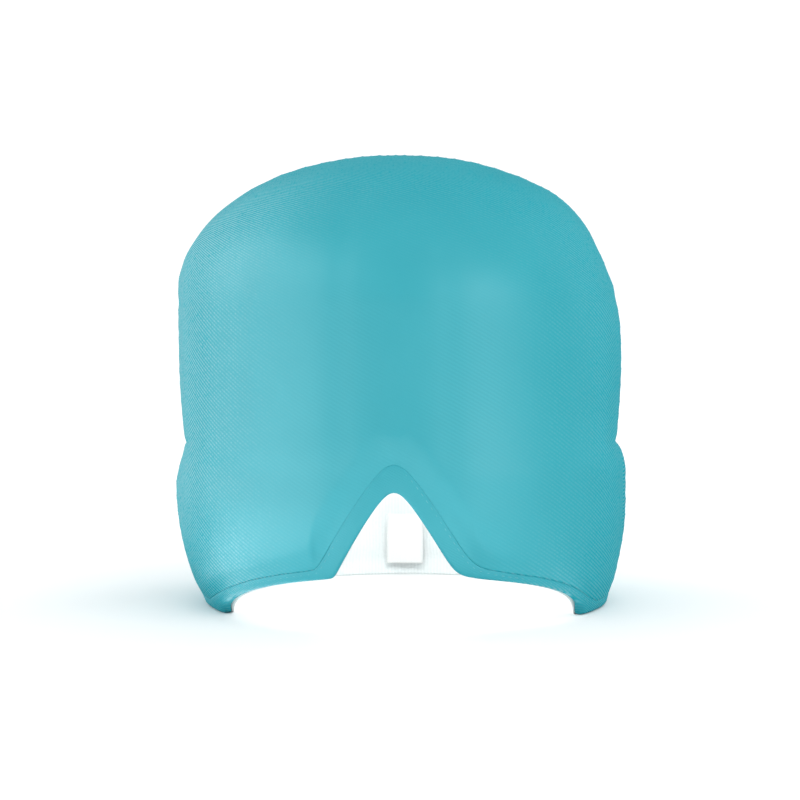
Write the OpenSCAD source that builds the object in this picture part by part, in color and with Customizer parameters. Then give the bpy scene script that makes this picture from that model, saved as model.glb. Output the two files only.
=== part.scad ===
// Pull-on gel head cap with an eye shade and a nose notch.
// Rest plane is z = 0, +Z is up and the face looks towards -Y.
// Left and right are the wearer's own: left is +X.
// An azimuth of 0 is the middle of the face, 90 the left ear, 180 the nape.
// A level is a height up to crown_z, and past it crown_z plus degrees round the crown.

/* [Cap] */
// Width across the ears
cap_w = 180; // [168:1:196]
// Height from the rest plane to the crown
cap_h = 182; // [174:1:192]
// Distance from the ear line to the forehead
front_depth = 104; // [96:1:112]
// Distance from the ear line to the back of the head
rear_depth = 111; // [102:1:118]
// Height where the crown starts to curve in
crown_z = 123; // [118:1:128]
// Squareness of the crown outline, 2 for an ellipse
crown_square = 2.1; // [2:0.05:2.4]

/* [Lower band] */
// Height of the crease at the ears and round the back
crease_z = 66; // [62:1:68]
// How much higher the crease is over the brow
crease_rise = 9; // [6:1:10]
// How far the crease pulls the wall in
crease_pinch = 2.3; // [1:0.1:4]
// Height of the widest line below the crease
bulge_z = 48; // [42:1:54]
// How far the lower band stands out past half the cap width
bulge_out = 1.8; // [0:0.1:4]
// How far the lower edge tucks in from half the cap width
edge_tuck = 8; // [5:0.1:12]
// Height where the wall is upright again above the crease
straight_z = 100; // [92:1:110]

/* [Face opening] */
// Height of the front hem beside the nose
hem_rise = 20.4; // [18:0.2:24]
// Azimuth where the front hem comes down to the rest plane
hem_end = 61; // [54:1:64]
// Height of the top of the nose notch
notch_top = 52.6; // [48:0.2:54]
// Half-width gained per millimetre down the notch side
notch_flare = 0.6; // [0.5:0.02:0.7]
// Roundness of the top of the notch
notch_round = 10; // [6:1:14]
// Rounding of the notch corner on the wearer's left
corner_left = 6; // [1:0.5:8]
// Rounding of the notch corner on the wearer's right
corner_right = 1.5; // [1:0.5:8]

/* [Layers] */
// Thickness of the knit cover
cover_t = 1; // [0.8:0.1:1.2]
// Thickness of the welded film
film_t = 0.4; // [0.3:0.1:0.5]
// Thickness of the gel in a chamber
gel_t = 4.2; // [4:0.1:5.5]
// Azimuth of each side edge of the middle chambers of the forehead and crown
middle_edge = 13; // [10:1:20]
// Thickness of the lining
lining_t = 1; // [0.8:0.1:1.2]
// Thickness of the hem band
hem_t = 4; // [3:0.5:4.5]
// Height of the hem band at the front, sides and rear
hem_h = 5; // [4:0.5:6]
// Height of the hem band over the notch
notch_band = 11; // [8:0.5:12]

/* [Moving parts] */
// Azimuth of each side edge of the eye shade
shade_edge = 46; // [42:1:49]

/* [Sewing] */
// Diameter of the sewing thread
thread_d = 0.5; // [0.3:0.1:0.6]
// Distance from one stitch to the next
stitch_pitch = 4.5; // [4:0.5:7]
// Distance from the crown seam to the topstitching on each side of it
topstitch = 3; // [2:0.5:5]

/* [Hidden] */

knit_colour = [0.34, 0.71, 0.76];
hem_colour = [0.3, 0.67, 0.73];
lining_colour = [0.93, 0.95, 0.95];
film_colour = [0.85, 0.9, 0.93];
gel_colour = [0.55, 0.8, 0.9];
thread_colour = [0.27, 0.63, 0.68];
tag_colour = [0.97, 0.97, 0.97];

half_w = cap_w / 2;
bulge_half = half_w + bulge_out;
crease_half = half_w - crease_pinch;
edge_half = half_w - edge_tuck;
crown_power = 2 / crown_square;
pole = crown_z + 90;
hem_power = 0.58;

// Gaps between a cover and its film, between gel and its neighbours, and between lining and tape
film_gap = 0.3;
gel_gap = 0.8;
tape_gap = 0.8;
tape_t = 0.6;
tape_half_w = 5;
// Depths from the outer skin to the outside of each layer
film_d = cover_t + film_gap;
gel_d = film_d + film_t + gel_gap;
lining_d = gel_d + gel_t + gel_gap;
tape_d = lining_d + lining_t + tape_gap;
hem_d = (gel_d + lining_d - hem_t) / 2;

// Half the gap, in height, where the eye shade meets the brow
crease_gap = 0.2;
// Azimuth gaps at the side edges of the eye shade and at the ear line
shade_gap = 0.4;
ear_gap = 0.1;
// Weld lines between chambers: half-height, and half-width in azimuth
weld_h = 3.5;
weld_a = 2;
// Degrees round the crown where its chambers end
crown_gel_end = 78;
// Azimuth over which one notch corner's rounding gives way to the other's
corner_blend = 20;
// How much rounder the band line is than the rim at the top of the notch
band_round = 4;
// The hem's upper edge lies this far up inside the pocket, and the gel starts this far above the band line
hem_tuck = 1.5;
gel_clear = 2.5;
// The hem's stitches run this far below the band line and this far outside the hem
thread_drop = 1.4;
thread_gap = 0.1;
// Azimuth from the end of a hem to its first stitch
thread_inset = 1;
// Share of the stitch pitch that one stitch fills
stitch_share = 0.7;
// Height where the topstitching starts at the ears
topstitch_low = 12;
tag_w = 16;
tag_h = 22;
tag_t = 0.6;

// Azimuths of the columns that each layer is drawn with
side_turns = [shade_edge + shade_gap, for (back = [4, 2, 0.7, 0]) hem_end - back,
    for (f = [0.25:0.25:1]) mix(hem_end, 90 - ear_gap, f)];
brow_parts = 6;
front_turns = concat(
    -reverse(side_turns),
    [for (i = [1 - brow_parts:brow_parts - 1]) shade_edge * i / brow_parts],
    side_turns
);
shade_cells = 30;
shade_turns = [for (i = [0:shade_cells]) shade_edge * (2 * i / shade_cells - 1)];
rear_cells = 24;
rear_turns = [for (i = [0:rear_cells]) mix(90 + ear_gap, 270 - ear_gap, i / rear_cells)];

// Rows below the crease, as fractions of the band's height, and the levels of the rows above it
low_rows = [for (i = [0:6]) i / 6];
wall_rows = [for (i = [1:5]) mix(crease_z + crease_rise, crown_z, i / 6)];
crown_arcs = [0, 8, 16, 24, 32, 40, 48, 56, 66, 76];
high_rows = concat(wall_rows, [for (arc = crown_arcs) crown_z + arc]);

// Height of the crease at an azimuth
function crease(a) = crease_z + crease_rise * pow(max(cos(a), 0), 2);

// Half the width of the wall at an azimuth and height
function wall_half(a, z) =
    z < bulge_z ? bulge_half - (bulge_half - edge_half) * pow((bulge_z - z) / bulge_z, 2) :
    z < crease(a) ? bulge_half - (bulge_half - crease_half) * pow((z - bulge_z) / (crease(a) - bulge_z), 2) :
    z < straight_z ? half_w - crease_pinch * pow((straight_z - z) / (straight_z - crease(a)), 2) :
    half_w;

// Point on the outer skin at an azimuth and level
function skin_point(a, level) =
    let (
        arc = max(level - crown_z, 0),
        half = wall_half(a, level) * pow(cos(arc), crown_power),
        deep = (cos(a) > 0 ? front_depth : rear_depth) / half_w
    )
    [
        half * sin(a),
        -half * deep * cos(a),
        min(level, crown_z) + (cap_h - crown_z) * pow(sin(arc), crown_power)
    ];

// Outward direction of the skin, kept level on the wall so that hems stay flat
function skin_normal(a, level) =
    level > pole - 1 ? [0, 0, 1] :
    let (
        round_way = skin_point(a + 0.5, level) - skin_point(a - 0.5, level),
        up_way = skin_point(a, level + 0.5) - skin_point(a, level - 0.5),
        out = cross(round_way, up_way),
        way = level > crown_z ? out : [out.x, out.y, 0]
    )
    way / norm(way);

// Point at a depth under the outer skin
function layer_point(a, level, depth) = skin_point(a, level) - depth * skin_normal(a, level);

// The larger of two heights, with the corner between them rounded
function soft_max(p, q, r) = (p + q + sqrt(pow(p - q, 2) + r * r)) / 2;

// Height of the lower edge of the front without its notch
function front_edge(a) = abs(a) < hem_end ? hem_rise * pow(cos(a * 90 / hem_end), hem_power) : 0;

// Height of a notch outline whose top is at height top
function notch_edge(a, top, roundness) =
    let (x = skin_point(a, bulge_z).x / notch_flare)
    top + roundness - sqrt(x * x + roundness * roundness);

// Rounding of the notch corner on the side that an azimuth lies on
function corner(a) = mix(corner_right, corner_left, min(max(0.5 + a / corner_blend, 0), 1));

// Lower edge of the hem at an azimuth from -180 to 270
function rim_level(a) =
    abs(a) > shade_edge ? front_edge(a) :
    soft_max(front_edge(a), notch_edge(a, notch_top, notch_round), corner(a));

// Line where the hem band meets the puffed body
function band_level(a) =
    abs(a) > shade_edge ? front_edge(a) + hem_h :
    let (notch = notch_edge(a, notch_top + notch_band, notch_round + band_round))
    soft_max(front_edge(a) + hem_h, notch, corner(a));

function mix(p, q, f) = p + (q - p) * f;
function reverse(list) = [for (i = [len(list) - 1:-1:0]) list[i]];
function quad(p, q, r, s) = [[p, q, r], [p, r, s]];

// A closed sheet between two depths over a grid of azimuths and rows.
// level(a, row) gives each row's level and has_cell(i, j) says which cells are there.
// With to_pole the last row closes on the top of the crown.
module sheet(turns, rows, level, depth_out, depth_in, has_cell = function (i, j) true, to_pole = false) {
    n = len(turns);
    m = len(rows);
    inner = n * m;
    top_out = 2 * inner;
    top_in = top_out + 1;
    function there(i, j) = i >= 0 && j >= 0 && i < n - 1 && j < m - 1 && has_cell(i, j);
    function at(i, j) = i * m + j;
    skin = [for (depth = [depth_out, depth_in]) for (a = turns) for (r = rows)
        layer_point(a, level(a, r), depth)];
    tops = to_pole ? [layer_point(0, pole, depth_out), layer_point(0, pole, depth_in)] : [];
    cell_faces = [for (i = [0:n - 2]) for (j = [0:m - 2]) if (there(i, j))
        let (p = at(i, j), q = at(i, j + 1), r = at(i + 1, j + 1), s = at(i + 1, j))
        each concat(
            quad(p, q, r, s),
            quad(s + inner, r + inner, q + inner, p + inner),
            there(i, j - 1) ? [] : quad(p, s, s + inner, p + inner),
            there(i, j + 1) || (to_pole && j == m - 2) ? [] : quad(r, q, q + inner, r + inner),
            there(i - 1, j) ? [] : quad(q, p, p + inner, q + inner),
            there(i + 1, j) ? [] : quad(s, r, r + inner, s + inner)
        )];
    pole_faces = !to_pole ? [] : concat(
        [for (i = [0:n - 2]) [at(i, m - 1), top_out, at(i + 1, m - 1)]],
        [for (i = [0:n - 2]) [inner + at(i + 1, m - 1), top_in, inner + at(i, m - 1)]],
        quad(top_out, at(0, m - 1), inner + at(0, m - 1), top_in),
        quad(at(n - 1, m - 1), top_out, top_in, inner + at(n - 1, m - 1))
    );
    polyhedron(concat(skin, tops), concat(cell_faces, pole_faces));
}

// Front half of a layer: the crown, the forehead and the two cheeks, with the shade's place left open
module front_layer(depth, thick) {
    low = len(low_rows);
    sheet(
        front_turns,
        concat(low_rows, high_rows),
        function (a, r) r > 1 ? r : mix(band_level(a), crease(a) + crease_gap, r),
        depth, depth + thick,
        function (i, j) j >= low - 1 || abs(front_turns[i] + front_turns[i + 1]) > 2 * shade_edge,
        true
    );
}

// Eye shade part of a layer, from the band line up to the crease
module shade_layer(depth, thick) {
    sheet(
        shade_turns,
        low_rows,
        function (a, r) mix(band_level(a), crease(a) - crease_gap, r),
        depth, depth + thick
    );
}

// Rear half of a layer
module rear_layer(depth, thick) {
    sheet(
        rear_turns,
        concat(low_rows, high_rows),
        function (a, r) r > 1 ? r : mix(hem_h, crease_z, r),
        depth, depth + thick,
        to_pole = true
    );
}

// One gel chamber between two azimuths, with bottom(a) and top(a) as its lower and upper levels
module chamber(from, to, bottom, top, cells = 6, rows = 5) {
    color(gel_colour)
    sheet(
        [for (i = [0:cells]) mix(from + weld_a, to - weld_a, i / cells)],
        [for (j = [0:rows]) j / rows],
        function (a, r) mix(bottom(a), top(a), r),
        gel_d, gel_d + gel_t
    );
}

// Puts a left-hand piece on the wearer's right
module right_side() {
    mirror([1, 0, 0])
    children();
}

over_hem = function (a) front_edge(a) + hem_h + gel_clear;
over_nape = function (a) hem_h + gel_clear;
over_notch = function (a) band_level(a) + gel_clear;
under_crease = function (a) crease(a) - weld_h;
over_crease = function (a) crease(a) + weld_h;
wall_top = function (a) crown_z - weld_h;
over_wall = function (a) crown_z + weld_h;
crown_top = function (a) crown_z + crown_gel_end;

module front_cover() { color(knit_colour) front_layer(0, cover_t); }
module eye_shade_cover() { color(knit_colour) shade_layer(0, cover_t); }
module rear_cover() { color(knit_colour) rear_layer(0, cover_t); }

module front_lining() { color(lining_colour) front_layer(lining_d, lining_t); }
module eye_shade_lining() { color(lining_colour) shade_layer(lining_d, lining_t); }
module rear_lining() { color(lining_colour) rear_layer(lining_d, lining_t); }

module front_film() { color(film_colour) front_layer(film_d, film_t); }
module eye_shade_film() { color(film_colour) shade_layer(film_d, film_t); }
module rear_film() { color(film_colour) rear_layer(film_d, film_t); }

module eye_gel_left() {
    chamber(0, shade_edge, over_notch, under_crease, cells = 18);
}

module eye_gel_right() {
    chamber(-shade_edge, 0, over_notch, under_crease, cells = 18);
}

module forehead_gel_centre() { chamber(-middle_edge, middle_edge, over_crease, wall_top, cells = 4); }

module forehead_gel_left() { chamber(middle_edge, shade_edge, over_crease, wall_top); }
module forehead_gel_right() { right_side() forehead_gel_left(); }

module temple_gel_left() { chamber(shade_edge, 90, over_crease, wall_top); }
module temple_gel_right() { right_side() temple_gel_left(); }

module cheek_gel_left() { chamber(shade_edge, 90, over_hem, under_crease, cells = 14); }
module cheek_gel_right() { right_side() cheek_gel_left(); }

module crown_front_gel_centre() {
    chamber(-middle_edge, middle_edge, over_wall, crown_top, cells = 4, rows = 8);
}

module crown_front_gel_left() { chamber(middle_edge, 90, over_wall, crown_top, cells = 9, rows = 8); }
module crown_front_gel_right() { right_side() crown_front_gel_left(); }

module crown_rear_gel_left() { chamber(90, 180, over_wall, crown_top, cells = 10, rows = 8); }
module crown_rear_gel_right() { right_side() crown_rear_gel_left(); }

module side_gel_left() { chamber(90, 135, over_crease, wall_top); }
module side_gel_right() { right_side() side_gel_left(); }

module back_gel_left() { chamber(135, 180, over_crease, wall_top); }
module back_gel_right() { right_side() back_gel_left(); }

module neck_gel_left() { chamber(90, 135, over_nape, under_crease); }
module neck_gel_right() { right_side() neck_gel_left(); }

module nape_gel_left() { chamber(135, 180, over_nape, under_crease); }
module nape_gel_right() { right_side() nape_gel_left(); }

// A length of hem band over a list of azimuths
module hem_band(turns) {
    color(hem_colour)
    sheet(
        turns,
        [0, 0.5, 1],
        function (a, r) mix(rim_level(a), band_level(a) + hem_tuck, r),
        hem_d, hem_d + hem_t
    );
}

module eye_shade_hem() { hem_band(shade_turns); }
module side_hem_left() { hem_band(side_turns); }
module side_hem_right() { right_side() side_hem_left(); }
module rear_hem() { hem_band(rear_turns); }

// A seam's cross-section over the crown, in the XZ plane, between two depths
module crown_arch(depth_out, depth_in) {
    levels = concat([for (r = low_rows) mix(hem_h, crease_z, r)], high_rows);
    function flat(sign, l, depth) = let (p = layer_point(90, l, depth)) [sign * p.x, p.z];
    function half(sign, depth) = [for (l = levels) flat(sign, l, depth)];
    polygon(concat(
        half(1, depth_out), [flat(1, pole, depth_out)], reverse(half(-1, depth_out)),
        half(-1, depth_in), [flat(1, pole, depth_in)], reverse(half(1, depth_in))
    ));
}

module crown_seam_tape() {
    color(hem_colour)
    translate([0, tape_half_w, 0])
    rotate([90, 0, 0])
    linear_extrude(2 * tape_half_w)
    crown_arch(tape_d, tape_d + tape_t);
}

// One stitch of thread in the middle of the step from p to q
module stitch(p, q) {
    way = q - p;
    run = norm(way);
    translate(mix(p, q, (1 - stitch_share) / 2))
    rotate([0, acos(way.z / run), atan2(way.y, way.x)])
    cylinder(h = stitch_share * run, d = thread_d, $fn = 16);
}

// Length of a curve given by path(f) for f from 0 to 1
function run_length(path, parts = 60) =
    let (steps = [for (i = [1:parts]) norm(path(i / parts) - path((i - 1) / parts))])
    steps * [for (step = steps) 1];

// Stitches along such a curve
module stitch_row(path) {
    count = floor(run_length(path) / stitch_pitch);
    color(thread_colour)
    for (i = [0:count - 1])
        stitch(path(i / count), path((i + 1) / count));
}

// Stitches in the groove over a hem band
module hem_thread(from, to) {
    stitch_row(function (f)
        let (a = mix(from, to, f))
        layer_point(a, band_level(a) - thread_drop, hem_d - thread_d / 2 - thread_gap));
}

// Two rows of topstitching, one on each side of the crown seam
module crown_seam_thread() {
    reach = pole - topstitch_low;
    for (side = [-1, 1])
        stitch_row(function (f)
            let (s = mix(-reach, reach, f), a = s < 0 ? -90 : 90)
            layer_point(a, pole - abs(s), -thread_d / 2 - thread_gap) + [0, side * topstitch, 0]);
}

module eye_shade_thread() { hem_thread(thread_inset - shade_edge, shade_edge - thread_inset); }
module side_thread_left() { hem_thread(shade_edge + 2 * thread_inset, 90 - thread_inset); }
module side_thread_right() { right_side() side_thread_left(); }
module rear_thread() { hem_thread(90 + 2 * thread_inset, 270 - 2 * thread_inset); }

// Blank tag that hangs inside the nape
module care_tag() {
    color(tag_colour)
    translate([-tag_w / 2, layer_point(180, hem_h, tape_d).y - tag_t, hem_h])
    cube([tag_w, tag_t, tag_h]);
}

front_cover();
eye_shade_cover();
rear_cover();
front_lining();
eye_shade_lining();
rear_lining();
front_film();
eye_shade_film();
rear_film();
eye_gel_left();
eye_gel_right();
forehead_gel_centre();
forehead_gel_left();
forehead_gel_right();
temple_gel_left();
temple_gel_right();
cheek_gel_left();
cheek_gel_right();
crown_front_gel_centre();
crown_front_gel_left();
crown_front_gel_right();
crown_rear_gel_left();
crown_rear_gel_right();
side_gel_left();
side_gel_right();
back_gel_left();
back_gel_right();
neck_gel_left();
neck_gel_right();
nape_gel_left();
nape_gel_right();
eye_shade_hem();
side_hem_left();
side_hem_right();
rear_hem();
crown_seam_tape();
crown_seam_thread();
eye_shade_thread();
side_thread_left();
side_thread_right();
rear_thread();
care_tag();
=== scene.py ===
"""Looks of a pull-on gel head cap with an eye shade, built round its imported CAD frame.

Lengths are in millimetres until a mesh is made, and angles in degrees.
An azimuth of 0 is the middle of the face (-Y), 90 the wearer's left ear (+X), 180 the nape.
A level is a height up to CROWN_Z, and past it CROWN_Z plus degrees round the crown.
"""
import math

import bpy
import numpy as np
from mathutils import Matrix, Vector


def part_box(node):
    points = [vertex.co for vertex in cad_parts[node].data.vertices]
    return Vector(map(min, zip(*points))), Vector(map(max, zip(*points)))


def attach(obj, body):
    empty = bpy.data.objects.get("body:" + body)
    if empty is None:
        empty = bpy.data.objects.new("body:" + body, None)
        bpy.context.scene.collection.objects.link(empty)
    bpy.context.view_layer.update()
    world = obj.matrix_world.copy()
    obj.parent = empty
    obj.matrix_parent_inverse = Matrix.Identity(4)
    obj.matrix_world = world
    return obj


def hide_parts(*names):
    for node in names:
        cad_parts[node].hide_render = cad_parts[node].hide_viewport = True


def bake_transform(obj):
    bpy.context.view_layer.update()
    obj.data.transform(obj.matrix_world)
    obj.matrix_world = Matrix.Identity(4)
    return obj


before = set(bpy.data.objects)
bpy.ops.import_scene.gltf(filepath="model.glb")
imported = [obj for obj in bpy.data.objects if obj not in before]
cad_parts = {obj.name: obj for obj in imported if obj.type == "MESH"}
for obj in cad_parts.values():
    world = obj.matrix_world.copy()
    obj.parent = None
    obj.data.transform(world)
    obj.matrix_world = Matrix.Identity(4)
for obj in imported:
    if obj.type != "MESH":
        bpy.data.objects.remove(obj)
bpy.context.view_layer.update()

MM = 0.001


def node_box(node):
    """Lowest and highest corners of a CAD node, in millimetres."""
    low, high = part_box(node)
    return np.array(low) / MM, np.array(high) / MM


# ---------------------------------------------------------------- driving sizes, from the frame
cover_low, cover_high = node_box("front_cover")
rear_high = node_box("rear_cover")[1]
side_gel_low, side_gel_high = node_box("side_gel_left")
shade_high = node_box("eye_shade_cover")[1]

WELD = 3.5
BULGE_OUT = 1.8
HALF_W = round(cover_high[0] - BULGE_OUT)
BULGE_HALF = HALF_W + BULGE_OUT
FRONT_DEEP = -cover_low[1]
REAR_DEEP = round(rear_high[1] * HALF_W / BULGE_HALF)
CAP_TOP = cover_high[2]
CREASE_SIDE = side_gel_low[2] - WELD
CREASE_RISE = shade_high[2] + 0.2 - CREASE_SIDE
CROWN_Z = side_gel_high[2] + WELD
POLE = CROWN_Z + 90
CROWN_POWER = 2 / 2.1
BULGE_Z = 48
STRAIGHT_Z = 100
PINCH = 2.3
FACE_FULLNESS = 0.9

# How the body leans to the left below the brow, as (height, spread, amount), and how its shoulders slump
BODY_LEAN = ((59, 7, 1), (45, 25, 0.4))
SLUMP_Z = 140
SLUMP_BELOW, SLUMP_ABOVE = 17, 21
SLUMP_LEFT, SLUMP_RIGHT = 4.4, 0.9

# How far the lower edge tucks in, and how much less it does on the left than on the right
EDGE_TUCK = 7.5
TUCK_SKEW = 2.7

# Face opening
HEM_RISE = 20.4
HEM_END = 61
HEM_POWER = 0.58
POWER_SKEW = 0.08
NOTCH_TOP = 52.6
NOTCH_FLARE = 0.6
NOTCH_ROUND = 10
NOTCH_BAND = 11
HEM_H = 4
HEM_LEAST = 3
BAND_END = 68
BAND_ROUND = 1.5
BAND_NOTCH_ROUND = NOTCH_ROUND + 4
CORNER_LEFT = 6
CORNER_RIGHT = 1.5
CORNER_BLEND = 20

# Layers, as depths under the outer skin
COVER_T = 0.8
FILM_T = 0.2
GEL_DEPTH = 2.4
GEL_T = 4.3
LINING_T = 0.7
LINING_DEPTH = 7.7
HEM_IN_DEPTH = 5.3

# Azimuths of the upright weld lines between gel chambers, and for some how deep and wide they show
MIDDLE_END, TEMPLE, EAR, SIDE_END, NAPE = 13, 46, 90, 135, 180
FRONT_WELDS = ((MIDDLE_END, 0.3, 6.0), (TEMPLE, 0.15, 5.0))
REAR_WELDS = ((SIDE_END, 0.8, 4.0), (NAPE, 0.8, 4.0))
LINING_WELDS = (0, MIDDLE_END, TEMPLE, EAR, SIDE_END, NAPE)


# ---------------------------------------------------------------- the cap's form
def crease(a):
    """Height of the crease at an azimuth."""
    return CREASE_SIDE + CREASE_RISE * np.maximum(np.cos(np.radians(a)), 0) ** 2


def wall_half(a, z):
    """Half the width of the wall at an azimuth and height."""
    fold = crease(a)
    side = np.sin(np.radians(a))
    edge = HALF_W - EDGE_TUCK + TUCK_SKEW * side
    waist = HALF_W + FACE_FULLNESS - (PINCH + FACE_FULLNESS) * sideways(a)
    low = BULGE_HALF - (BULGE_HALF - edge) * ((BULGE_Z - z) / BULGE_Z) ** 2
    mid = BULGE_HALF - (BULGE_HALF - waist) * ((z - BULGE_Z) / (fold - BULGE_Z)) ** 2
    high = HALF_W - (HALF_W - waist) * ((STRAIGHT_Z - z) / (STRAIGHT_Z - fold)) ** 2
    plain = np.select([z < BULGE_Z, z < fold, z < STRAIGHT_Z], [low, mid, high], HALF_W)
    return plain + side * sum(amount * valley(z - height, spread) for height, spread, amount in BODY_LEAN)


def skin_point(a, level):
    """Points on the outer skin."""
    a, level = np.broadcast_arrays(np.asarray(a, float), np.asarray(level, float))
    arc = np.radians(np.clip(level - CROWN_Z, 0, 90))
    turn = np.radians(a)
    shrink = np.maximum(np.cos(arc), 0) ** CROWN_POWER
    half = wall_half(a, np.minimum(level, CROWN_Z)) * shrink
    deep = np.where(np.cos(turn) > 0, FRONT_DEEP, REAR_DEEP) / HALF_W
    height = np.minimum(level, CROWN_Z) + (CAP_TOP - CROWN_Z) * np.sin(arc) ** CROWN_POWER
    across = half * np.sin(turn)
    reach = np.where(height < SLUMP_Z, SLUMP_BELOW, SLUMP_ABOVE)
    slump = valley(height - SLUMP_Z, reach) * np.sin(turn) ** 2
    across = across - slump * np.where(across > 0, SLUMP_LEFT, SLUMP_RIGHT)
    return np.stack([across, -half * deep * np.cos(turn), height], -1)


def skin_normal(a, level):
    """Outward directions of the skin, level on the wall so that hems stay flat."""
    a, level = np.broadcast_arrays(np.asarray(a, float), np.asarray(level, float))
    near_pole = level > POLE - 1
    safe = np.where(near_pole, POLE - 1, level)
    round_way = skin_point(a + 0.5, safe) - skin_point(a - 0.5, safe)
    up_way = skin_point(a, safe + 0.5) - skin_point(a, safe - 0.5)
    out = np.cross(round_way, up_way)
    out[..., 2] = np.where(safe <= CROWN_Z, 0, out[..., 2])
    out /= np.linalg.norm(out, axis=-1, keepdims=True)
    out[near_pole] = (0, 0, 1)
    return out


def soft_max(p, q, r):
    """The larger of two heights, with the corner between them rounded."""
    return (p + q + np.sqrt((p - q) ** 2 + r * r)) / 2


def arched(a, end):
    """1 at the middle of the face, falling to 0 at an azimuth on either side."""
    return np.maximum(np.cos(np.radians(np.clip(np.abs(a) * 90 / end, 0, 90))), 0)


def front_edge(a):
    """Lower edge of the front without its notch, a little lower on the right than on the left."""
    return HEM_RISE * arched(a, HEM_END) ** (HEM_POWER - POWER_SKEW * np.sign(a))


def plain_band(a):
    """Upper line of the hem band without its notch."""
    return soft_max(HEM_H + HEM_RISE * arched(a, BAND_END), front_edge(a) + HEM_LEAST, BAND_ROUND)


def notch_edge(a, top, roundness):
    """Outline of the nose notch with its top at a height."""
    x = BULGE_HALF * np.sin(np.radians(a)) / NOTCH_FLARE
    return top + roundness - np.sqrt(x * x + roundness * roundness)


def corner(a):
    """Rounding of the notch corner on the side that an azimuth lies on."""
    side = np.clip(0.5 + a / CORNER_BLEND, 0, 1)
    return CORNER_RIGHT + (CORNER_LEFT - CORNER_RIGHT) * side


def rim_level(a):
    """Lower edge of the hem."""
    a = np.asarray(a, float)
    notch = notch_edge(a, NOTCH_TOP, NOTCH_ROUND)
    return np.where(np.abs(a) > 90, 0, soft_max(front_edge(a), notch, corner(a)))


def band_level(a):
    """Line where the hem band meets the puffed body."""
    a = np.asarray(a, float)
    notch = notch_edge(a, NOTCH_TOP + NOTCH_BAND, BAND_NOTCH_ROUND)
    return np.where(np.abs(a) > 90, plain_band(a), soft_max(plain_band(a), notch, corner(a)))


SLOPE_STEP = 0.4
SLOPE_LEVEL = 60


def slope_stretch(a, line):
    """How much further a level step goes than the same step square to a sloping line."""
    before, after = a - SLOPE_STEP, a + SLOPE_STEP
    rise = line(after) - line(before)
    run = np.linalg.norm(skin_point(after, SLOPE_LEVEL) - skin_point(before, SLOPE_LEVEL), axis=-1)
    return np.sqrt(1 + (rise / run) ** 2)


# ---------------------------------------------------------------- relief of the outer knit
rng = np.random.default_rng(7)
WAVES = [(rng.normal(size=3), rng.uniform(0, 2 * math.pi)) for _ in range(14)]


def ripple(points, length):
    """Soft random relief, about -1 to 1, with waves near a length."""
    total = 0
    for number, (way, phase) in enumerate(WAVES):
        scale = 2 * math.pi / (length * (0.7 + 0.05 * number))
        total = total + np.sin(points @ (way / np.linalg.norm(way)) * scale + phase)
    return total / math.sqrt(len(WAVES) / 2) / 2


def valley(distance, width):
    """1 at a line, fading to 0 over a width."""
    return np.exp(-((distance / width) ** 2))


MEAN_RADIUS = 97


def ring_radius(level):
    """Distance moved for each degree of azimuth at a level."""
    arc = np.radians(np.clip(level - CROWN_Z, 0, 90))
    return math.radians(1) * MEAN_RADIUS * np.maximum(np.cos(arc), 0) ** CROWN_POWER


def ease(value, start, end):
    """Rises smoothly from 0 at a start to 1 at an end."""
    share = np.clip((value - start) / (end - start), 0, 1)
    return share * share * (3 - 2 * share)


def sideways(a):
    """0 over the face and 1 at the ears and behind."""
    return ease(np.abs(a), 58, 90)


POLE_FADE = 25
SEAM_GROOVE, SEAM_RIDGE, SEAM_PUCKER = 1.3, 0.35, 0.12
PUCKER_PITCH = 6.3


def relief(a, level, points):
    """How far the puffed knit stands out from the plain skin."""
    behind = sideways(a)
    out = 0.12 * ripple(points, 55) + 0.22 * behind * ripple(points, 34)
    fade = np.clip((POLE - POLE_FADE - level) / POLE_FADE, 0, 1)
    step = ring_radius(level)
    for azimuth, deep, wide in FRONT_WELDS:
        out = out - deep * fade * valley((np.abs(a) - azimuth) * step, wide)
    for azimuth, deep, wide in REAR_WELDS:
        for way in (azimuth, 360 - azimuth):
            out = out - deep * fade * valley((a - way) * step, wide) / (2 if azimuth == NAPE else 1)
    out = out - 0.6 * behind * valley(level - crease(a), 1.3)
    out = out - 0.45 * behind * valley(level - CROWN_Z, 4)
    seam = np.abs(points[..., 1])
    pucker = np.sin(2 * math.pi * (points[..., 2] + np.abs(points[..., 0])) / PUCKER_PITCH)
    out = out - SEAM_GROOVE * valley(seam, 1.5) + SEAM_RIDGE * valley(seam - 4, 2.2)
    return out + SEAM_PUCKER * pucker * valley(seam - 3, 2.5)


# Azimuths over which the edge beside the nose passes into the edge under the eyes
NOSE_SIDE = (17, 30)
NOSE_DEPTH = 3.1
NOSE_TO_CHEEK, CHEEK_TO_EAR = 2.1, 0.3
ROLL_WIDTH, ROLL_NARROWING = 11, 4.5


def edge_depth(a):
    """Depth of the hem band's face: deepest beside the nose and nearly flush at the sides."""
    azimuth = np.abs(a)
    return NOSE_DEPTH - NOSE_TO_CHEEK * ease(azimuth, 16, 28) - CHEEK_TO_EAR * ease(azimuth, 40, 62)


def edge_roll(a, level):
    """Depth by which the puffed body rolls in towards the hem band."""
    wide = ROLL_WIDTH - ROLL_NARROWING * ease(np.abs(a), *NOSE_SIDE)
    away = (level - band_level(a)) / slope_stretch(a, band_level)
    share = np.clip(1 - away / wide, 0, 1)
    return edge_depth(a) * share**2 * (2.4 - 1.4 * share)


# ---------------------------------------------------------------- mesh helpers
def spread(count, ends=0.6):
    """Fractions from 0 to 1 that crowd towards both ends."""
    even = np.linspace(0, 1, count + 1)
    return (1 - ends) * even + ends * (1 - np.cos(math.pi * even)) / 2


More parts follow.
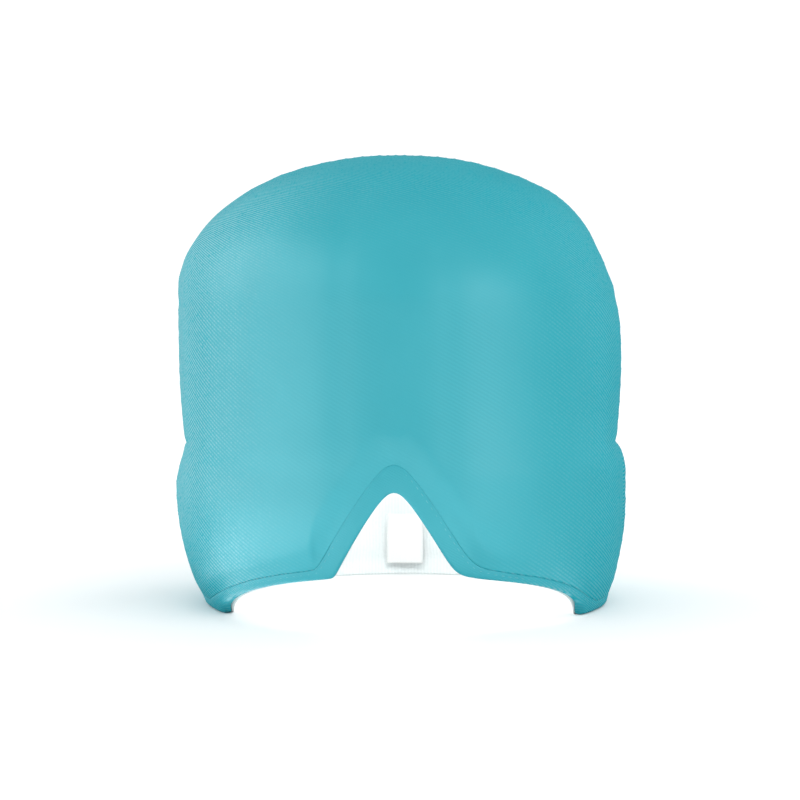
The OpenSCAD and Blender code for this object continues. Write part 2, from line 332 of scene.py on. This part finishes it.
SEAM_FINE = np.array([85, 86, 86.8, 87.5, 88.1, 88.6, 89, 89.35, 89.65, 89.85, 90])


def front_columns(fine=0.5, coarse=1.0):
    """Azimuths across the front, close together at the notch and the crown seam."""
    mid = np.arange(0, 22, fine)
    side = np.concatenate([mid, np.arange(22, 84.5, coarse), SEAM_FINE])
    return np.concatenate([-side[:0:-1], side])


def rear_columns(step=1.25):
    """Azimuths round the rear, close together at the crown seam."""
    return np.concatenate([180 - SEAM_FINE[::-1], np.arange(96.25, 264, step), 180 + SEAM_FINE])


def panel_levels(columns, bottom, low=40, wall=28, crown=54):
    """A grid of levels from bottom(a) up over the crease and crown to the pole."""
    fold = crease(columns)[:, None]
    start = bottom(columns)[:, None]
    lower = start + (fold - start) * spread(low)[None, :]
    upper = fold + (CROWN_Z - fold) * spread(wall)[None, 1:]
    dome = np.broadcast_to(CROWN_Z + 90 * np.linspace(0, 1, crown + 1)[1:-1], (len(columns), crown - 1))
    return np.concatenate([lower, upper, dome], 1)


def grid_quads(index):
    """The squares between the neighbours of a grid of vertex numbers."""
    return np.stack([index[:-1, :-1], index[1:, :-1], index[1:, 1:], index[:-1, 1:]], -1).reshape(-1, 4)


def add_object(name, vertices, faces, material, uvs=None):
    """Makes a smooth mesh object from millimetre points, with a knit UV map in decimetres."""
    mesh = bpy.data.meshes.new(name)
    mesh.from_pydata((np.asarray(vertices) * MM).tolist(), [], faces)
    mesh.validate()
    mesh.shade_smooth()
    if uvs is not None:
        layer = mesh.uv_layers.new(name="knit")
        loops = np.zeros(len(mesh.loops), int)
        mesh.loops.foreach_get("vertex_index", loops)
        layer.data.foreach_set("uv", (np.asarray(uvs)[loops] * 0.01).ravel())
    mesh.materials.append(material)
    piece = bpy.data.objects.new(name, mesh)
    bpy.context.scene.collection.objects.link(piece)
    return piece


ARC_TABLE = np.linspace(0, 90, 361)


def arc_length(a, deep):
    """Length round the wall from the middle of the face or nape to an azimuth."""
    turn = np.radians(ARC_TABLE)
    steps = np.hypot(np.diff(HALF_W * np.sin(turn)), np.diff(deep * np.cos(turn)))
    table = np.concatenate([[0], np.cumsum(steps)])
    return np.sign(a) * np.interp(np.abs(a), ARC_TABLE, table)


def knit_uv(points, level):
    """Flat knit coordinates in millimetres: wales run up the wall and over the crown to the seam."""
    deep = np.where(points[..., 1] < 0, FRONT_DEEP, REAR_DEEP)
    across = np.clip(points[..., 0] / HALF_W, -1, 1)
    turn = np.degrees(np.arcsin(across))
    length = np.where(points[..., 1] < 0, arc_length(turn, FRONT_DEEP), arc_length(turn, REAR_DEEP))
    rise = np.maximum(points[..., 2] - CROWN_Z, 0) / (CAP_TOP - CROWN_Z)
    lift = np.arctan2(rise, np.abs(points[..., 1]) / deep)
    radius = (deep + CAP_TOP - CROWN_Z) / 2 * np.sqrt(np.maximum(1 - across**2, 0.02))
    return np.stack([length, np.minimum(level, CROWN_Z) + lift * radius], -1)


def sheet(name, columns, levels, depth, material, outward=True):
    """A sheet at depth(a, level, points) over a grid, closed on the pole of the crown."""
    a = np.broadcast_to(columns[:, None], levels.shape)
    plain = skin_point(a, levels)
    points = plain - skin_normal(a, levels) * depth(a, levels, plain)[..., None]
    count, rows = levels.shape
    vertices = points.reshape(-1, 3)
    uvs = knit_uv(plain, levels).reshape(-1, 2)
    index = np.arange(count * rows).reshape(count, rows)
    faces = grid_quads(index).tolist()
    middle, at_pole = np.zeros((1, 1)), np.full((1, 1), POLE)
    top = skin_point(middle, at_pole)
    drop = depth(middle, at_pole, top)[0, 0]
    vertices = np.concatenate([vertices, top.reshape(1, 3) - [[0, 0, drop]]])
    uvs = np.concatenate([uvs, knit_uv(top - [[[0, 1e-3, 0]]], at_pole).reshape(1, 2)])
    ends = index[:, -1]
    faces += [[int(p), int(q), count * rows] for p, q in zip(ends[:-1], ends[1:])]
    if not outward:
        faces = [face[::-1] for face in faces]
    return add_object(name, vertices, faces, material, uvs)


def thicken(piece, thickness):
    """Gives a sheet its thickness on the side away from its normals."""
    solidify = piece.modifiers.new("thickness", "SOLIDIFY")
    solidify.thickness = thickness * MM
    solidify.offset = -1
    solidify.use_even_offset = False
    return piece


def bend_front(piece):
    """Bakes a front piece's placement into its mesh."""
    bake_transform(piece)


def stretch_rear(piece):
    """Bakes a rear piece's placement into its mesh."""
    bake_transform(piece)


# ---------------------------------------------------------------- materials
class Nodes:
    """Short calls for building a material's node tree."""

    def __init__(self, name):
        self.material = bpy.data.materials.new(name)
        self.material.use_nodes = True
        self.tree = self.material.node_tree
        self.shader = self.tree.nodes["Principled BSDF"]

    def add(self, kind, **values):
        node = self.tree.nodes.new(kind)
        for key, value in values.items():
            setattr(node, key, value)
        return node

    def link(self, source, target):
        self.tree.links.new(source, target)

    def value(self, source, target):
        """Feeds a socket from another socket or a plain number."""
        if isinstance(source, (int, float)):
            target.default_value = source
        else:
            self.link(source, target)

    def math(self, operation, first, second=0.0, third=None):
        node = self.add("ShaderNodeMath", operation=operation)
        self.value(first, node.inputs[0])
        self.value(second, node.inputs[1])
        if third is not None:
            self.value(third, node.inputs[2])
        return node.outputs[0]

    def mix(self, share, first, second):
        node = self.add("ShaderNodeMix", data_type="RGBA")
        self.value(share, node.inputs[0])
        for colour, socket in ((first, node.inputs[6]), (second, node.inputs[7])):
            if isinstance(colour, tuple):
                socket.default_value = (*colour, 1)
            else:
                self.link(colour, socket)
        return node.outputs[2]

    def noise(self, scale, detail=2.0, source=None):
        node = self.add("ShaderNodeTexNoise")
        node.inputs["Scale"].default_value = scale
        node.inputs["Detail"].default_value = detail
        if source is None:
            source = self.add("ShaderNodeTexCoord").outputs["Object"]
        self.link(source, node.inputs["Vector"])
        return node.outputs[0]

    def knit_axes(self):
        """The two flat knit coordinates, in millimetres."""
        uv = self.add("ShaderNodeUVMap", uv_map="knit").outputs[0]
        axes = self.add("ShaderNodeSeparateXYZ")
        self.link(uv, axes.inputs[0])
        return self.math("MULTIPLY", axes.outputs[0], 100.0), self.math("MULTIPLY", axes.outputs[1], 100.0)

    def wave(self, across, up, angle, pitch):
        """A sine from 0 to 1 that repeats at a pitch along an angle."""
        turn = math.radians(angle)
        along = self.math("MULTIPLY", across, math.cos(turn) * 2 * math.pi / pitch)
        total = self.math("MULTIPLY_ADD", up, math.sin(turn) * 2 * math.pi / pitch, along)
        return self.math("MULTIPLY_ADD", self.math("SINE", total), 0.5, 0.5)

    def bump(self, height, distance, strength=1.0):
        node = self.add("ShaderNodeBump")
        node.inputs["Strength"].default_value = strength
        node.inputs["Distance"].default_value = distance * MM
        self.link(height, node.inputs["Height"])
        self.link(node.outputs[0], self.shader.inputs["Normal"])

    def set(self, **values):
        for key, value in values.items():
            self.shader.inputs[key.replace("_", " ")].default_value = value


ROW_ANGLE = 62
BASE_SHINE = 0.22
GLINT_LEVEL, GLINT_GAIN, GLINT_MOST = 0.38, 1.9, 0.75


def knit_material(name, dark, light, pitch=1.37, relief_height=0.02, rough=0.46, shine=1.0):
    """Fine stretch knit: slanted rows of small stitches that glint where the cloth turns away."""
    nodes = Nodes(name)
    across, up = nodes.knit_axes()
    across = nodes.math("MULTIPLY_ADD", nodes.noise(60, 2), 0.5, across)
    rows = nodes.wave(across, up, ROW_ANGLE, pitch)
    beads = nodes.wave(across, up, -ROW_ANGLE, pitch)
    stitches = nodes.math("MULTIPLY", rows, nodes.math("MULTIPLY_ADD", beads, 0.45, 0.55))
    tone = nodes.math("MULTIPLY_ADD", stitches, 0.05, nodes.math("MULTIPLY", nodes.noise(28, 3), 0.6))
    nodes.link(nodes.mix(tone, dark, light), nodes.shader.inputs["Base Color"])
    nodes.link(nodes.math("MULTIPLY_ADD", stitches, -0.1, rough + 0.05), nodes.shader.inputs["Roughness"])
    lustre = nodes.math("MULTIPLY", stitches, nodes.math("MULTIPLY_ADD", nodes.noise(900, 1), 3.0, -0.5))
    facing = nodes.add("ShaderNodeLayerWeight").outputs["Facing"]
    slant = nodes.math("MULTIPLY", nodes.math("MULTIPLY", facing, facing), GLINT_GAIN)
    glint = nodes.math("MULTIPLY_ADD", nodes.math("SUBTRACT", lustre, GLINT_LEVEL), slant, BASE_SHINE)
    glint = nodes.math("MAXIMUM", nodes.math("MULTIPLY", glint, shine), 0.0)
    glint = nodes.math("MINIMUM", glint, GLINT_MOST)
    nodes.link(glint, nodes.shader.inputs["Specular IOR Level"])
    nodes.bump(stitches, relief_height)
    return nodes.material


def lining_material():
    """Pale brushed knit with a short nap."""
    nodes = Nodes("brushed_lining")
    across, up = nodes.knit_axes()
    ribs = nodes.wave(across, up, 0, 1.6)
    nap = nodes.noise(900, 3)
    tone = nodes.math("MULTIPLY_ADD", ribs, 0.3, nodes.math("MULTIPLY", nap, 0.7))
    nodes.link(nodes.mix(tone, (0.76, 0.80, 0.80), (0.90, 0.93, 0.93)), nodes.shader.inputs["Base Color"])
    nodes.bump(tone, 0.2)
    nodes.set(Roughness=0.85, Sheen_Weight=0.3, Specular_IOR_Level=0.2)
    return nodes.material


def thread_material():
    """Twisted polyester thread in the knit's colour."""
    nodes = Nodes("sewing_thread")
    twist = nodes.noise(2500, 1)
    nodes.link(nodes.mix(twist, (0.02, 0.30, 0.36), (0.06, 0.44, 0.50)), nodes.shader.inputs["Base Color"])
    nodes.bump(twist, 0.05)
    nodes.set(Roughness=0.5, Sheen_Weight=0.1)
    return nodes.material


def gel_material():
    """Soft blue gel with a cloudy depth."""
    nodes = Nodes("cooling_gel")
    cloud = nodes.noise(90, 3)
    nodes.link(nodes.mix(cloud, (0.16, 0.42, 0.62), (0.30, 0.60, 0.78)), nodes.shader.inputs["Base Color"])
    nodes.link(nodes.math("MULTIPLY_ADD", cloud, 0.12, 0.12), nodes.shader.inputs["Roughness"])
    nodes.bump(cloud, 0.2, 0.4)
    return nodes.material


def film_material():
    """Soft clear film, milky where it is welded."""
    nodes = Nodes("welded_film")
    grain = nodes.noise(400, 2)
    nodes.link(nodes.mix(grain, (0.62, 0.70, 0.74), (0.80, 0.86, 0.88)), nodes.shader.inputs["Base Color"])
    nodes.link(nodes.math("MULTIPLY_ADD", grain, 0.2, 0.15), nodes.shader.inputs["Roughness"])
    nodes.bump(grain, 0.05)
    return nodes.material


def tag_material():
    """White satin tape, left blank."""
    nodes = Nodes("satin_tape")
    grain = nodes.noise(1800, 1)
    nodes.link(nodes.mix(grain, (0.82, 0.82, 0.81), (0.93, 0.93, 0.92)), nodes.shader.inputs["Base Color"])
    nodes.bump(grain, 0.04)
    nodes.set(Roughness=0.35, Sheen_Weight=0.2)
    return nodes.material


TEAL_DARK = (0.020, 0.332, 0.402)
TEAL_LIGHT = (0.044, 0.390, 0.460)
HEM_DARK = (0.020, 0.326, 0.396)
HEM_LIGHT = (0.044, 0.384, 0.454)
knit = knit_material("stretch_knit", TEAL_DARK, TEAL_LIGHT)
hem_knit = knit_material("hem_knit", HEM_DARK, HEM_LIGHT, pitch=0.9, relief_height=0.03, rough=0.5, shine=0.8)
lining = lining_material()
thread = thread_material()
gel = gel_material()
film = film_material()
satin = tag_material()


# ---------------------------------------------------------------- covers, linings and film
TUCK = 0.3
GAP = 0.15
LINING_SWELL = 0.9
LINING_FADE = 20
LINING_LINE = 3
PUFF_START = 6


def cover_depth(a, level, points):
    """Depth of the outer knit: it puffs between welds and rolls in at its lower edge."""
    steep = 0.4 + 0.6 * ease(np.abs(a), *NOSE_SIDE)
    tuck = np.maximum(band_level(a) - level, 0) / slope_stretch(a, band_level) * steep
    near_edge = np.clip((level - band_level(a)) / PUFF_START, 0, 1)
    return edge_roll(a, level) + tuck - relief(a, level, points) * near_edge


def film_depth(a, level, points):
    return cover_depth(a, level, points) + COVER_T + GAP


def lining_depth(a, level, points):
    """Depth of the lining: it swells inwards over each chamber and meets the hem at the edge."""
    away = np.clip((level - band_level(a) - 1) / 8, 0, 1)
    rise = away * away * (3 - 2 * away)
    fade = np.clip((POLE - LINING_FADE - level) / LINING_FADE, 0, 1)
    step = ring_radius(level)
    lines = valley(level - crease(a), LINING_LINE) + valley(level - CROWN_Z, LINING_LINE)
    for azimuth in LINING_WELDS:
        for way in (azimuth, -azimuth, 360 - azimuth):
            lines = np.maximum(lines, valley((a - way) * step, LINING_LINE))
    swell = LINING_SWELL * (1 - np.minimum(lines, 1)) * fade
    on_hem = HEM_IN_DEPTH + LINING_T + 0.1
    return on_hem + rise * (LINING_DEPTH - on_hem + swell)


def from_line(line, gap):
    """A level a little way up from a line, square to it."""
    return lambda a: line(a) + gap * slope_stretch(a, line)


def front_piece(name, depth, material, bottom, thickness, columns, outward=True, **counts):
    piece = sheet(name, columns, panel_levels(columns, bottom, **counts), depth, material, outward)
    thicken(piece, thickness)
    bend_front(piece)
    return piece


def rear_piece(name, depth, material, bottom, thickness, columns, outward=True, **counts):
    piece = sheet(name, columns, panel_levels(columns, bottom, **counts), depth, material, outward)
    thicken(piece, thickness)
    stretch_rear(piece)
    return piece


COARSE_FRONT = np.concatenate([np.arange(-90, -22, 2), np.arange(-22, 22, 1), np.arange(22, 90.5, 2)])
COARSE_REAR = np.arange(90, 271, 2.5)

cover_edge = from_line(band_level, -TUCK)
film_edge = from_line(band_level, 3)
lining_edge = from_line(rim_level, 0.15)

front_panel = front_piece("front_panel", cover_depth, knit, cover_edge, COVER_T, front_columns())
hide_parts("front_cover", "eye_shade_cover")
rear_panel = rear_piece("rear_panel", cover_depth, knit, cover_edge, COVER_T, rear_columns())
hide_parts("rear_cover")

front_lining = front_piece("front_lining_knit", lining_depth, lining, lining_edge, LINING_T, COARSE_FRONT,
                           False, low=30, wall=18, crown=36)
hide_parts("front_lining", "eye_shade_lining")
rear_lining = rear_piece("rear_lining_knit", lining_depth, lining, lining_edge, LINING_T, COARSE_REAR,
                         False, low=30, wall=18, crown=36)
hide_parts("rear_lining")

front_film = front_piece("front_film_sheet", film_depth, film, film_edge, FILM_T, COARSE_FRONT,
                         low=12, wall=8, crown=24)
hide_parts("front_film", "eye_shade_film")
rear_film = rear_piece("rear_film_sheet", film_depth, film, film_edge, FILM_T, COARSE_REAR,
                       low=12, wall=8, crown=24)
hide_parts("rear_film")


# ---------------------------------------------------------------- hem bands
# Cross-section of a hem, as (offset square to the line, depth under the hem's face), from the band line,
# then from the rim with depths as a share of the hem's thickness, and last its inside
HEM_FROM_BAND = ((1.3, 1.6), (0.2, 0.9), (-0.1, 0.35), (-0.3, 0.12), (-0.7, 0.02), (-1.2, 0))
HEM_FROM_RIM = ((1.2, 0), (0.8, 0.04), (0.25, 0.12), (0.04, 0.26), (0, 0.5),
                (0.06, 0.7), (0.35, 0.86), (0.8, 0.96), (1.3, 1))
HEM_INSIDE = ((-1.2, 1), (1.3, 1))


def hem_band(name, columns, material):
    """A flat bonded hem with a rounded edge, closed at both ends."""
    band, rim = band_level(columns), rim_level(columns)
    band_k, rim_k = slope_stretch(columns, band_level), slope_stretch(columns, rim_level)
    face = edge_depth(columns)
    thick = HEM_IN_DEPTH - face
    levels, depths = [], []
    for line, k, section, scale in ((band, band_k, HEM_FROM_BAND, 1), (rim, rim_k, HEM_FROM_RIM, thick),
                                    (band, band_k, HEM_INSIDE, thick)):
        for offset, depth in section:
            levels.append(np.maximum(line + offset * k, rim))
            depths.append(face + depth * scale)
    levels, depths = np.stack(levels, 1), np.stack(depths, 1)
    a = np.broadcast_to(columns[:, None], levels.shape)
    plain = skin_point(a, levels)
    waver = 0.12 * ripple(plain, 21)
    points = plain - skin_normal(a, levels) * (depths - waver)[..., None]
    count, size = levels.shape
    index = np.arange(count * size).reshape(count, size)
    after = np.roll(index, -1, axis=1)
    quads = np.stack([index[:-1], after[:-1], after[1:], index[1:]], -1).reshape(-1, 4)
    faces = quads.tolist() + [index[0][::-1].tolist(), index[-1].tolist()]
    return add_object(name, points.reshape(-1, 3), faces, material, knit_uv(plain, levels).reshape(-1, 2))


front_hem = hem_band("front_hem_band", front_columns(0.5, 1.0), hem_knit)
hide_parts("eye_shade_hem", "side_hem_left", "side_hem_right")
bend_front(front_hem)
rear_hem = hem_band("rear_hem_band", rear_columns(), hem_knit)
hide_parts("rear_hem")
stretch_rear(rear_hem)


# ---------------------------------------------------------------- gel chambers
GEL_EDGE = 0.12
GEL_LEAST = 0.1


def gel_chamber(node, start, end, bottom, top, cells=26, rows=22):
    """A swollen gel chamber between two azimuths, thinning to its welds."""
    across = spread(cells, 0.7)
    up = spread(rows, 0.7)
    a = start + (end - start) * across[:, None] + 0 * up[None, :]
    low, high = bottom(a), top(a)
    level = low + (high - low) * up[None, :]
    swell = (1 - (2 * across[:, None] - 1) ** 4) * (1 - (2 * up[None, :] - 1) ** 4)
    half = GEL_T / 2 * (GEL_EDGE + (1 - GEL_EDGE) * np.sqrt(np.maximum(swell, 0)))
    middle = GEL_DEPTH + GEL_T / 2 + edge_roll(a, level) * 0.8
    plain = skin_point(a, level)
    normal = skin_normal(a, level)
    under_film = film_depth(a, level, plain) + FILM_T + GAP
    over_lining = lining_depth(a, level, plain) - LINING_T - GAP
    shallow = np.maximum(middle - half, under_film)
    deep = np.maximum(np.minimum(middle + half, over_lining), shallow + GEL_LEAST)
    outer = plain - normal * shallow[..., None]
    inner = plain - normal * deep[..., None]
    count, size = a.shape
    index = np.arange(count * size).reshape(count, size)
    quads = grid_quads(index)
    back = count * size
    faces = quads.tolist() + (quads[:, ::-1] + back).tolist()
    border = np.concatenate([index[:-1, 0], index[-1, :-1], index[:0:-1, -1], index[0, :0:-1]])
    for p, q in zip(border, np.roll(border, -1)):
        faces.append([int(q), int(p), int(p) + back, int(q) + back])
    points = np.concatenate([outer.reshape(-1, 3), inner.reshape(-1, 3)])
    piece = add_object(node + "_chamber", points, faces, gel)
    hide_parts(node)
    return piece


def over_band(a):
    return band_level(a) + 2.5


def under_crease(a):
    return crease(a) - WELD


def over_crease(a):
    return crease(a) + WELD


def wall_top(a):
    return CROWN_Z - WELD + 0 * a


def over_wall(a):
    return CROWN_Z + WELD + 0 * a


def crown_end(a):
    return CROWN_Z + 78 + 0 * a


WELD_A = 2
FRONT_GEL = {
    "eye_gel": (0, TEMPLE, over_band, under_crease),
    "forehead_gel": (MIDDLE_END, TEMPLE, over_crease, wall_top),
    "temple_gel": (TEMPLE, EAR, over_crease, wall_top),
    "cheek_gel": (TEMPLE, EAR, over_band, under_crease),
    "crown_front_gel": (MIDDLE_END, EAR, over_wall, crown_end),
}
REAR_GEL = {
    "side_gel": (EAR, SIDE_END, over_crease, wall_top),
    "neck_gel": (EAR, SIDE_END, over_band, under_crease),
    "back_gel": (SIDE_END, NAPE, over_crease, wall_top),
    "nape_gel": (SIDE_END, NAPE, over_band, under_crease),
    "crown_rear_gel": (EAR, NAPE, over_wall, crown_end),
}
for stem, (start, end, bottom, top) in FRONT_GEL.items():
    bend_front(gel_chamber(stem + "_left", start + WELD_A, end - WELD_A, bottom, top))
    bend_front(gel_chamber(stem + "_right", WELD_A - end, -WELD_A - start, bottom, top))
for stem in ("forehead_gel", "crown_front_gel"):
    bottom, top = FRONT_GEL[stem][2:]
    bend_front(gel_chamber(stem + "_centre", WELD_A - MIDDLE_END, MIDDLE_END - WELD_A, bottom, top))
for stem, (start, end, bottom, top) in REAR_GEL.items():
    stretch_rear(gel_chamber(stem + "_left", start + WELD_A, end - WELD_A, bottom, top))
    stretch_rear(gel_chamber(stem + "_right", 360 + WELD_A - end, 360 - WELD_A - start, bottom, top))


# ---------------------------------------------------------------- sewing
def unit(vectors):
    return vectors / np.linalg.norm(vectors, axis=1, keepdims=True)


def stitches(name, runs, pitch, width=0.5, fill=0.72, sides=8, rings=7):
    """Short tubes of thread that rise from the cloth and sink again, along runs of (points, normals)."""
    turns = np.linspace(0, 2 * math.pi, sides, endpoint=False)
    lift = np.sin(np.linspace(0, math.pi, rings))
    thick = width / 2 * (0.55 + 0.45 * lift)
    index = np.arange(rings * sides).reshape(rings, sides)
    after = np.roll(index, -1, axis=1)
    tube = np.stack([index[:-1], index[1:], after[1:], after[:-1]], -1).reshape(-1, 4).tolist()
    tube += [index[0].tolist(), index[-1][::-1].tolist()]
    vertices, faces = [], []
    for path, outward in runs:
        lengths = np.concatenate([[0], np.cumsum(np.linalg.norm(np.diff(path, axis=0), axis=1))])
        for number in range(int(lengths[-1] // pitch)):
            places = (number + 0.5 + fill * np.linspace(-0.5, 0.5, rings)) * pitch
            centre = np.stack([np.interp(places, lengths, path[:, i]) for i in range(3)], 1)
            up = unit(np.stack([np.interp(places, lengths, outward[:, i]) for i in range(3)], 1))
            centre = centre + up * (0.45 * width * (2 * lift - 1))[:, None]
            side = unit(np.cross(np.gradient(centre, axis=0), up))
            base = len(vertices) * rings * sides
            ring_way = np.cos(turns)[:, None] * side[:, None] + np.sin(turns)[:, None] * up[:, None]
            vertices.append(centre[:, None] + thick[:, None, None] * ring_way)
            faces += [[base + k for k in face] for face in tube]
    return add_object(name, np.concatenate(vertices).reshape(-1, 3), faces, thread)


HEM_STITCH = 3.2
CROWN_STITCH = 3.4


def hem_stitches(name, start, end):
    """A row of stitches just below the band line."""
    a = np.linspace(start, end, 400)
    level = band_level(a) - 1.6 * slope_stretch(a, band_level)
    normal = skin_normal(a, level)
    path = skin_point(a, level) - normal * (edge_depth(a) + 0.16)[:, None]
    piece = stitches(name, [(path, normal)], HEM_STITCH, 0.26)
    return piece


front_stitching = hem_stitches("front_hem_stitching", -89, 89)
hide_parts("eye_shade_thread", "side_thread_left", "side_thread_right")
bend_front(front_stitching)
rear_stitching = hem_stitches("rear_hem_stitching", 91, 269)
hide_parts("rear_thread")
stretch_rear(rear_stitching)


def arch_line(low=14, steps=60):
    """Azimuths, levels and normals along the crown seam from ear to ear."""
    half = np.concatenate([np.linspace(low, CROWN_Z, steps), CROWN_Z + np.linspace(1, 90, steps)])
    side = np.repeat([-90.0, 90.0], [len(half), len(half) - 1])
    levels = np.concatenate([half, half[-2::-1]])
    return side, levels, skin_normal(side, levels)


def arch(lift, shift):
    """Points and normals along a line beside the crown seam, lifted from the knit."""
    side, levels, normal = arch_line()
    points = skin_point(side, levels)
    points = points + normal * np.reshape(relief(side, levels, points + [0, shift, 0]) + lift, (-1, 1))
    return points + [0, shift, 0], normal


crown_stitching = stitches("crown_seam_stitching", [arch(-0.22, -3), arch(-0.22, 3)], CROWN_STITCH, 0.4)
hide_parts("crown_seam_thread")
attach(crown_stitching, "front_half")


TAPE_HALF, TAPE_T = 5, 0.6


def seam_tape():
    """Flat tape that covers the crown seam inside the cap."""
    shifts = np.linspace(-TAPE_HALF, TAPE_HALF, 9)
    rows = []
    for shift in shifts:
        side, levels, normal = arch_line()
        turn = side + np.degrees(np.sign(side) * shift / MEAN_RADIUS)
        under = lining_depth(turn, levels, skin_point(turn, levels)) + GAP
        rows.append(skin_point(side, levels) - normal * under[:, None] + [0, shift, 0])
    points = np.stack(rows, 1)
    count, size = points.shape[:2]
    faces = grid_quads(np.arange(count * size).reshape(count, size)).tolist()
    points = points.reshape(-1, 3)
    piece = add_object("crown_seam_binding", points, faces, hem_knit, points[:, [1, 2]])
    thicken(piece, TAPE_T)
    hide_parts("crown_seam_tape")
    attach(piece, "front_half")


seam_tape()


def care_tag():
    """A blank tag sewn inside the nape, slightly waved."""
    low, high = node_box("care_tag")
    across = np.linspace(low[0], high[0], 13)
    down = np.linspace(0, 1, 25)
    grid = []
    for x in across:
        for f in down:
            curl = 0.2 * f * f + 0.1 * math.sin(x / 3)
            grid.append((x, high[1] - 0.35 - curl, low[2] + (high[2] - low[2]) * f))
    faces = grid_quads(np.arange(len(grid)).reshape(len(across), len(down))).tolist()
    piece = add_object("blank_care_tag", grid, faces, satin)
    thicken(piece, 0.3)
    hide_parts("care_tag")
    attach(piece, "rear_half")


care_tag()


# ---------------------------------------------------------------- stage, light and camera
def plain_material(name, colour, rough=0.9):
    nodes = Nodes(name)
    nodes.set(Base_Color=(*colour, 1), Roughness=rough, Specular_IOR_Level=0.1)
    return nodes.material


def stage_floor():
    """Pale floor that sweeps up into a backdrop, in metres, and that reflections don't see."""
    front, bend, top, half = -3.0, 1.2, 3.0, 4
    profile = [(front, 0.0), (bend, 0.0)]
    profile += [(bend + math.sin(t), 1 - math.cos(t)) for t in np.linspace(0.1, math.pi / 2, 12)]
    profile += [(bend + 1, top)]
    vertices = [(x / MM, y / MM, z / MM) for x in (-half, half) for y, z in profile]
    count = len(profile)
    faces = [[k, k + count, k + count + 1, k + 1] for k in range(count - 1)]
    floor = add_object("floor", vertices, faces, plain_material("pale_floor", (0.92, 0.92, 0.92)))
    floor.visible_glossy = False


stage_floor()

TARGET = Vector((0, 0, 82.4)) * MM
CAMERA_DISTANCE = 1.2
CAMERA_AZIMUTH = 1.3
CAMERA_ELEVATION = 3
FRAME_WIDTH = 328 * MM


def seen_from(azimuth, elevation, distance):
    """A place at an azimuth and elevation round the target."""
    turn, lift = math.radians(azimuth), math.radians(elevation)
    way = Vector((math.sin(turn) * math.cos(lift), -math.cos(turn) * math.cos(lift), math.sin(lift)))
    return TARGET + way * distance


def area_light(name, azimuth, elevation, distance, size, power, diffuse=True, glossy=True):
    """A soft box that faces the cap."""
    data = bpy.data.lights.new(name, "AREA")
    data.shape = "RECTANGLE"
    data.size, data.size_y = size
    data.energy = power
    light = bpy.data.objects.new(name, data)
    light.location = seen_from(azimuth, elevation, distance)
    light.rotation_euler = (TARGET - light.location).to_track_quat("-Z", "Y").to_euler()
    light.visible_diffuse = diffuse
    light.visible_glossy = glossy
    light.visible_camera = False
    bpy.context.scene.collection.objects.link(light)


# Soft boxes at an azimuth, elevation and distance; some light the highlights only, some the cloth only
area_light("key_left", -76, 17, 1.4, (2.3, 1.9), 57.5, diffuse=False)
area_light("rim_left", -132, 20, 1.6, (1.5, 2.0), 13, diffuse=False)
area_light("strip_right", 50, 9, 1.6, (0.85, 1.1), 21, diffuse=False)
area_light("top_soft", 35, 50, 1.6, (1.2, 1.2), 5, glossy=False)
area_light("edge_right", 135, 8, 1.6, (0.9, 1.6), 12, glossy=False)
area_light("edge_left", -125, 8, 1.6, (0.9, 1.6), 8, glossy=False)


def low_light(name, place, size, power, tilt, glossy_only):
    """A flat lamp at a place in metres, facing down at tilt 0 and up at 180."""
    data = bpy.data.lights.new(name, "AREA")
    data.shape = "RECTANGLE"
    data.size, data.size_y = size
    data.energy = power
    lamp = bpy.data.objects.new(name, data)
    lamp.location = place
    lamp.rotation_euler = (math.radians(tilt), 0, 0)
    lamp.visible_diffuse = not glossy_only
    lamp.visible_glossy = glossy_only
    lamp.visible_camera = False
    bpy.context.scene.collection.objects.link(lamp)


# Bright cards on the floor light the surfaces that lean down, and a lamp under the crown lights the lining
low_light("card_front", (0, -0.26, 0.002), (0.4, 0.26), 1.7, 180, True)
low_light("card_near_left", (-0.13, -0.1, 0.002), (0.2, 0.1), 0.3, 180, True)
low_light("card_near_right", (0.13, -0.1, 0.002), (0.16, 0.1), 0.11, 180, True)
low_light("card_left", (-0.3, -0.22, 0.002), (0.4, 0.4), 2.5, 180, True)
low_light("floor_fill", (0, -0.36, 0.002), (0.8, 0.4), 0.12, 180, False)
low_light("inside_lamp", (0, -0.02, 0.125), (0.09, 0.09), 0.13, 35, False)

WORLD_LIGHT = 1.05
WORLD_IN_REFLECTIONS = 0.14
world = bpy.data.worlds.new("studio")
bpy.context.scene.world = world
world.use_nodes = True
background = world.node_tree.nodes["Background"]
background.inputs["Color"].default_value = (1, 1, 1, 1)
rays = world.node_tree.nodes.new("ShaderNodeLightPath")
dim = world.node_tree.nodes.new("ShaderNodeMapRange")
dim.inputs["To Min"].default_value = WORLD_LIGHT
dim.inputs["To Max"].default_value = WORLD_IN_REFLECTIONS
world.node_tree.links.new(rays.outputs["Is Glossy Ray"], dim.inputs["Value"])
world.node_tree.links.new(dim.outputs[0], background.inputs["Strength"])

camera_data = bpy.data.cameras.new("camera")
camera_data.sensor_width = 36
camera_data.lens = 36 * CAMERA_DISTANCE / FRAME_WIDTH
camera = bpy.data.objects.new("camera", camera_data)
camera.location = seen_from(CAMERA_AZIMUTH, CAMERA_ELEVATION, CAMERA_DISTANCE)
camera.rotation_euler = (TARGET - camera.location).to_track_quat("-Z", "Y").to_euler()
bpy.context.scene.collection.objects.link(camera)
bpy.context.scene.camera = camera
bpy.context.scene.view_settings.view_transform = "Standard"


def plain(box):
    return [[float(value) for value in end] for end in box]
